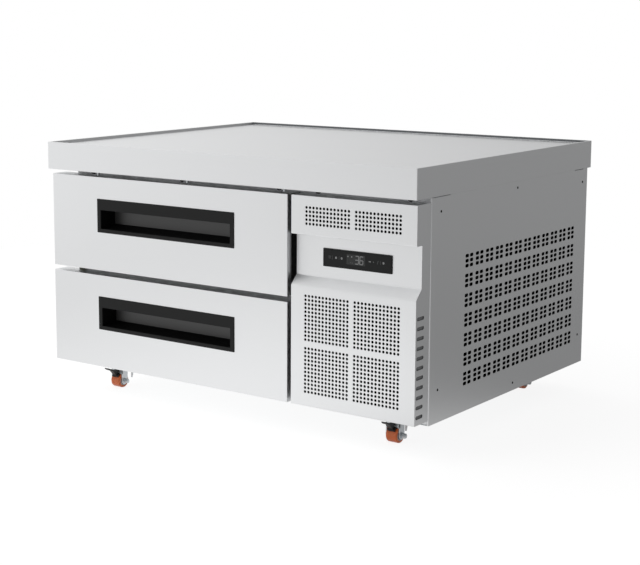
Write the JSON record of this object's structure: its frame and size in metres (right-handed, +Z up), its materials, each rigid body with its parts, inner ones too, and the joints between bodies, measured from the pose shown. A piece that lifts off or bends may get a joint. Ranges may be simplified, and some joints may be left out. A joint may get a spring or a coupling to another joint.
{
  "type": "refrigerated chef base",
  "caption": "Low refrigerated drawer base on casters: flat stainless worktop with a raised rim, stacked drawers with recessed pulls, a perforated grille over the machine bay",
  "frame": {"origin": "on the floor under the centre of the worktop's rectangle", "axes": "+X from the drawers towards the machine bay, +Y from front to back, +Z up"},
  "size_m": [0.924, 0.729, 0.546],
  "materials": {
    "worktop_steel": "satin",
    "cabinet_steel": "satin",
    "front_steel": "satin",
    "liner_steel": "satin",
    "galvanised_steel": "matte",
    "runner_steel": "satin",
    "foam": "matte",
    "bumper_rubber": "matte",
    "core_plastic": "matte",
    "gasket_rubber": "matte",
    "pull_plastic": "matte",
    "display_plastic": "gloss",
    "coil_aluminium": "satin",
    "coil_black": "satin",
    "fan_plastic": "satin",
    "fan_steel": "satin",
    "motor_black": "satin",
    "compressor_black": "satin",
    "mount_rubber": "matte",
    "copper": "satin",
    "gland_plastic": "matte",
    "zinc_steel": "satin",
    "fork_steel": "satin",
    "tyre_orange": "satin",
    "pedal_plastic": "satin"
  },
  "bodies": {
    "cabinet": {"worktop": "worktop_steel", "worktop_filling": "foam", "insulation": "foam", "left_side_panel": "cabinet_steel", "right_side_panel": "cabinet_steel", "back_panel": "galvanised_steel", "base_pan": "galvanised_steel", "partition_panel": "galvanised_steel", "inner_liner": "liner_steel", "face_frame": "cabinet_steel", "drawer_bumpers": "bumper_rubber", "fixed_runners": "runner_steel", "front_grille": "front_steel", "temperature_controller": "display_plastic", "evaporator_housing": "liner_steel", "evaporator_coil": "coil_aluminium", "evaporator_motor": "motor_black", "drain_tray": "liner_steel", "temperature_probe": "pull_plastic", "condenser_coil": "coil_black", "condenser_shroud": "motor_black", "condenser_motor": "motor_black", "compressor": "compressor_black", "compressor_mounts": "mount_rubber", "filter_drier": "copper", "refrigerant_lines": "copper", "condensate_pan": "fan_plastic", "control_box": "pull_plastic", "cable_gland": "gland_plastic", "caster_plates": "zinc_steel"},
    "upper_drawer": {"upper_front_skin": "front_steel", "upper_front_core": "core_plastic", "upper_gasket": "gasket_rubber", "upper_pull": "pull_plastic", "upper_pan_carrier": "liner_steel", "upper_inner_runners": "runner_steel"},
    "upper_runner_middle": {"upper_middle_runners": "runner_steel"},
    "lower_drawer": {"lower_front_skin": "front_steel", "lower_front_core": "core_plastic", "lower_gasket": "gasket_rubber", "lower_pull": "pull_plastic", "lower_pan_carrier": "liner_steel", "lower_inner_runners": "runner_steel"},
    "lower_runner_middle": {"lower_middle_runners": "runner_steel"},
    "swivel_front_left": {"caster_fork_front_left": "fork_steel"},
    "wheel_front_left": {"caster_wheel_front_left": "tyre_orange"},
    "swivel_front_right": {"caster_fork_front_right": "fork_steel"},
    "wheel_front_right": {"caster_wheel_front_right": "tyre_orange"},
    "swivel_rear_left": {"caster_fork_rear_left": "fork_steel"},
    "wheel_rear_left": {"caster_wheel_rear_left": "tyre_orange"},
    "swivel_rear_right": {"caster_fork_rear_right": "fork_steel"},
    "wheel_rear_right": {"caster_wheel_rear_right": "tyre_orange"},
    "brake_front_left": {"brake_pedal_front_left": "pedal_plastic"},
    "brake_front_right": {"brake_pedal_front_right": "pedal_plastic"},
    "condenser_rotor": {"condenser_fan": "fan_steel"},
    "evaporator_rotor": {"evaporator_fan": "fan_plastic"}
  },
  "joints": [
    {"name": "upper_drawer_slide", "type": "slide", "parent": "cabinet", "child": "upper_drawer", "axis": [0, -1, 0], "range_m": [0, 0.46]},
    {"name": "upper_runner_slide", "type": "slide", "parent": "cabinet", "child": "upper_runner_middle", "axis": [0, -1, 0], "range_m": [0, 0.23]},
    {"name": "lower_drawer_slide", "type": "slide", "parent": "cabinet", "child": "lower_drawer", "axis": [0, -1, 0], "range_m": [0, 0.46]},
    {"name": "lower_runner_slide", "type": "slide", "parent": "cabinet", "child": "lower_runner_middle", "axis": [0, -1, 0], "range_m": [0, 0.23]},
    {"name": "swivel_front_left_turn", "type": "hinge", "parent": "cabinet", "child": "swivel_front_left", "pos_m": [-0.358, -0.243, 0.045], "axis": [0, 0, 1], "continuous": true},
    {"name": "wheel_front_left_spin", "type": "hinge", "parent": "swivel_front_left", "child": "wheel_front_left", "pos_m": [-0.358, -0.26, 0.0155], "axis": [1, 0, 0], "continuous": true},
    {"name": "swivel_front_right_turn", "type": "hinge", "parent": "cabinet", "child": "swivel_front_right", "pos_m": [0.358, -0.243, 0.045], "axis": [0, 0, 1], "continuous": true},
    {"name": "wheel_front_right_spin", "type": "hinge", "parent": "swivel_front_right", "child": "wheel_front_right", "pos_m": [0.358, -0.26, 0.0155], "axis": [1, 0, 0], "continuous": true},
    {"name": "swivel_rear_left_turn", "type": "hinge", "parent": "cabinet", "child": "swivel_rear_left", "pos_m": [-0.358, 0.281, 0.045], "axis": [0, 0, 1], "continuous": true},
    {"name": "wheel_rear_left_spin", "type": "hinge", "parent": "swivel_rear_left", "child": "wheel_rear_left", "pos_m": [-0.358, 0.264, 0.0155], "axis": [1, 0, 0], "continuous": true},
    {"name": "swivel_rear_right_turn", "type": "hinge", "parent": "cabinet", "child": "swivel_rear_right", "pos_m": [0.358, 0.281, 0.045], "axis": [0, 0, 1], "continuous": true},
    {"name": "wheel_rear_right_spin", "type": "hinge", "parent": "swivel_rear_right", "child": "wheel_rear_right", "pos_m": [0.358, 0.264, 0.0155], "axis": [1, 0, 0], "continuous": true},
    {"name": "brake_front_left_lift", "type": "hinge", "parent": "swivel_front_left", "child": "brake_front_left", "pos_m": [-0.358, -0.258, 0.038], "axis": [-1, 0, 0], "range_deg": [0, 5]},
    {"name": "brake_front_right_lift", "type": "hinge", "parent": "swivel_front_right", "child": "brake_front_right", "pos_m": [0.358, -0.258, 0.038], "axis": [-1, 0, 0], "range_deg": [0, 5]},
    {"name": "condenser_fan_spin", "type": "hinge", "parent": "cabinet", "child": "condenser_rotor", "pos_m": [0.32025, -0.21425, 0.172], "axis": [0, 1, 0], "continuous": true},
    {"name": "evaporator_fan_spin", "type": "hinge", "parent": "cabinet", "child": "evaporator_rotor", "pos_m": [0.022, 0.242, 0.267], "axis": [0, 1, 0], "continuous": true}
  ],
  "couplings": [
    {"joint": "upper_runner_slide", "follows": "upper_drawer_slide", "ratio": 0.5},
    {"joint": "lower_runner_slide", "follows": "lower_drawer_slide", "ratio": 0.5}
  ]
}
